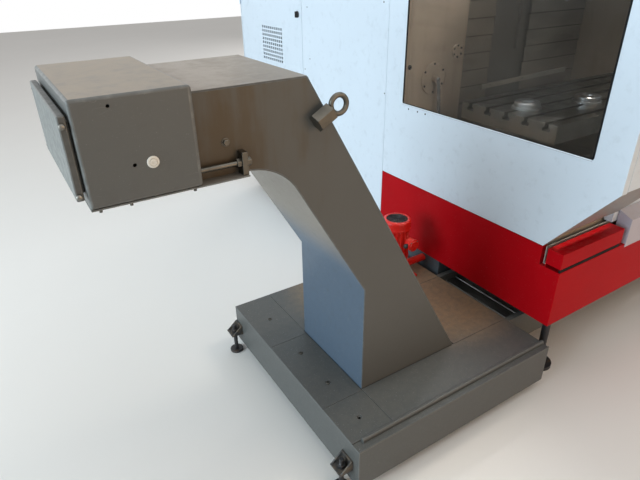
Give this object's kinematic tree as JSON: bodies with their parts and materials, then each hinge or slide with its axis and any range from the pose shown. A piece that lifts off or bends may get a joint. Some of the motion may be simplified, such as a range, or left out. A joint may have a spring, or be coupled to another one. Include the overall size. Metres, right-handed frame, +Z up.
{
  "type": "cnc machining center",
  "caption": "Enclosed vertical machining center with a side window, a red base and a gray chip conveyor rising from a coolant tank docked at its side.",
  "frame": {"origin": "centre of the footprint of the bounding box, on the floor", "axes": "+X from the discharge end of the conveyor towards the machine (the long way), +Y from the operator door at the front to the back, +Z up"},
  "size_m": [3.646, 2.786, 2.35],
  "materials": {
    "light_gray_panel": "smooth satin paint, cool white",
    "deep_red_paint": "glossy dark red paint",
    "tank_gray": "semi-gloss dark gray paint",
    "casting_paint": "blue-gray painted casting",
    "lining_beige": "dull beige-brown paint",
    "slat_steel": "oiled dark steel slats",
    "bright_steel": "machined steel",
    "plated_steel": "worn bright plating",
    "smoked_glass": "smoked polycarbonate",
    "screen_glass": "dark glossy screen",
    "dark_steel": "black oxide",
    "console_gray": "satin gray paint",
    "plug_white": "off-white plastic",
    "stop_red": "glossy red plastic",
    "start_green": "glossy green plastic",
    "knob_black": "black plastic",
    "cabinet_zinc": "zinc-coated plate and drives"
  },
  "bodies": {
    "machine": {"base_frame": "casting_paint", "machine_feet": "dark_steel", "red_skirt": "deep_red_paint", "ledge_boxes": "deep_red_paint", "front_sill": "light_gray_panel", "door_rail": "bright_steel", "window_panel": "light_gray_panel", "window_glass": "smoked_glass", "middle_panel": "light_gray_panel", "cabinet_shell": "light_gray_panel", "drive_plate": "cabinet_zinc", "right_panel": "light_gray_panel", "rear_panel": "light_gray_panel", "roof_panel": "light_gray_panel", "front_hood": "light_gray_panel", "work_lining": "lining_beige", "slat_guard": "slat_steel", "bed": "casting_paint", "column": "casting_paint", "magazine_beam": "console_gray", "tank": "tank_gray", "tank_covers": "tank_gray", "tank_rail": "tank_gray", "tank_brackets": "tank_gray", "tank_feet": "dark_steel", "chip_trough": "tank_gray", "side_plate_near": "tank_gray", "side_plate_far": "tank_gray", "throat_plate": "tank_gray", "back_cover": "tank_gray", "arm_lid": "tank_gray", "hinge_belt": "bright_steel", "head_box": "tank_gray", "head_lid": "tank_gray", "head_plug": "plug_white", "take_up_rods": "plated_steel", "lifting_eye": "plated_steel", "gearmotor": "tank_gray", "pump_body": "deep_red_paint", "pump_cowl": "deep_red_paint", "pump_terminal_box": "deep_red_paint"},
    "cabinet_door": {"cabinet_door": "light_gray_panel"},
    "cabinet_lock": {"cabinet_lock": "dark_steel"},
    "front_door": {"front_door": "light_gray_panel", "door_glass": "smoked_glass"},
    "console": {"console": "console_gray", "console_screen": "screen_glass"},
    "stop_button": {"stop_button": "stop_red"},
    "start_button": {"start_button": "start_green"},
    "feed_knob": {"feed_knob": "knob_black"},
    "saddle": {"saddle": "casting_paint"},
    "table": {"table": "bright_steel", "table_fixtures": "bright_steel"},
    "head": {"headstock": "casting_paint"},
    "spindle": {"spindle": "bright_steel"},
    "magazine_carriage": {"magazine_carriage": "console_gray"},
    "tool_disc": {"tool_disc": "console_gray", "tool_holders": "bright_steel"},
    "drive_shaft": {"drive_shaft": "bright_steel"},
    "tail_shaft": {"tail_shaft": "bright_steel"}
  },
  "joints": [
    {"name": "cabinet_door_hinge", "type": "hinge", "parent": "machine", "child": "cabinet_door", "pos_m": [-0.382, 1.383, 1.2], "axis": [0, 0, -1], "range_deg": [0, 110]},
    {"name": "cabinet_lock_turn", "type": "hinge", "parent": "cabinet_door", "child": "cabinet_lock", "pos_m": [-0.377, 0.656, 1.223], "axis": [1, 0, 0], "range_deg": [0, 90]},
    {"name": "front_door_slide", "type": "slide", "parent": "machine", "child": "front_door", "axis": [1, 0, 0], "range_m": [0, 0.84]},
    {"name": "console_swing", "type": "hinge", "parent": "machine", "child": "console", "pos_m": [1.709, -1.317, 1.37], "axis": [0, 0, 1], "range_deg": [0, 100]},
    {"name": "stop_button_press", "type": "slide", "parent": "console", "child": "stop_button", "axis": [0, 1, 0], "range_m": [0, 0.006], "stiffness_N_per_m": 400},
    {"name": "start_button_press", "type": "slide", "parent": "console", "child": "start_button", "axis": [0, 1, 0], "range_m": [0, 0.004], "stiffness_N_per_m": 400},
    {"name": "feed_knob_turn", "type": "hinge", "parent": "console", "child": "feed_knob", "pos_m": [1.453, -1.367, 1.17], "axis": [0, 1, 0], "range_deg": [0, 270]},
    {"name": "y_axis", "type": "slide", "parent": "machine", "child": "saddle", "axis": [0, 1, 0], "range_m": [-0.2, 0.13]},
    {"name": "x_axis", "type": "slide", "parent": "saddle", "child": "table", "axis": [1, 0, 0], "range_m": [-0.2, 0.6]},
    {"name": "z_axis", "type": "slide", "parent": "machine", "child": "head", "axis": [0, 0, 1], "range_m": [-0.52, 0]},
    {"name": "spindle_spin", "type": "hinge", "parent": "head", "child": "spindle", "pos_m": [0.723, -0.587, 1.6], "axis": [0, 0, 1], "continuous": true},
    {"name": "magazine_slide", "type": "slide", "parent": "machine", "child": "magazine_carriage", "axis": [1, 0, 0], "range_m": [0, 0.415]},
    {"name": "magazine_turn", "type": "hinge", "parent": "magazine_carriage", "child": "tool_disc", "pos_m": [0.093, -0.587, 1.44], "axis": [0, 0, 1], "continuous": true},
    {"name": "drive_turn", "type": "hinge", "parent": "machine", "child": "drive_shaft", "pos_m": [-1.693, -0.773, 1.152], "axis": [0, 1, 0], "continuous": true},
    {"name": "tail_turn", "type": "hinge", "parent": "machine", "child": "tail_shaft", "pos_m": [1.333, -0.773, 0.12], "axis": [0, 1, 0], "continuous": true}
  ],
  "couplings": [
    {"joint": "tail_turn", "follows": "drive_turn", "ratio": 1.1778}
  ]
}
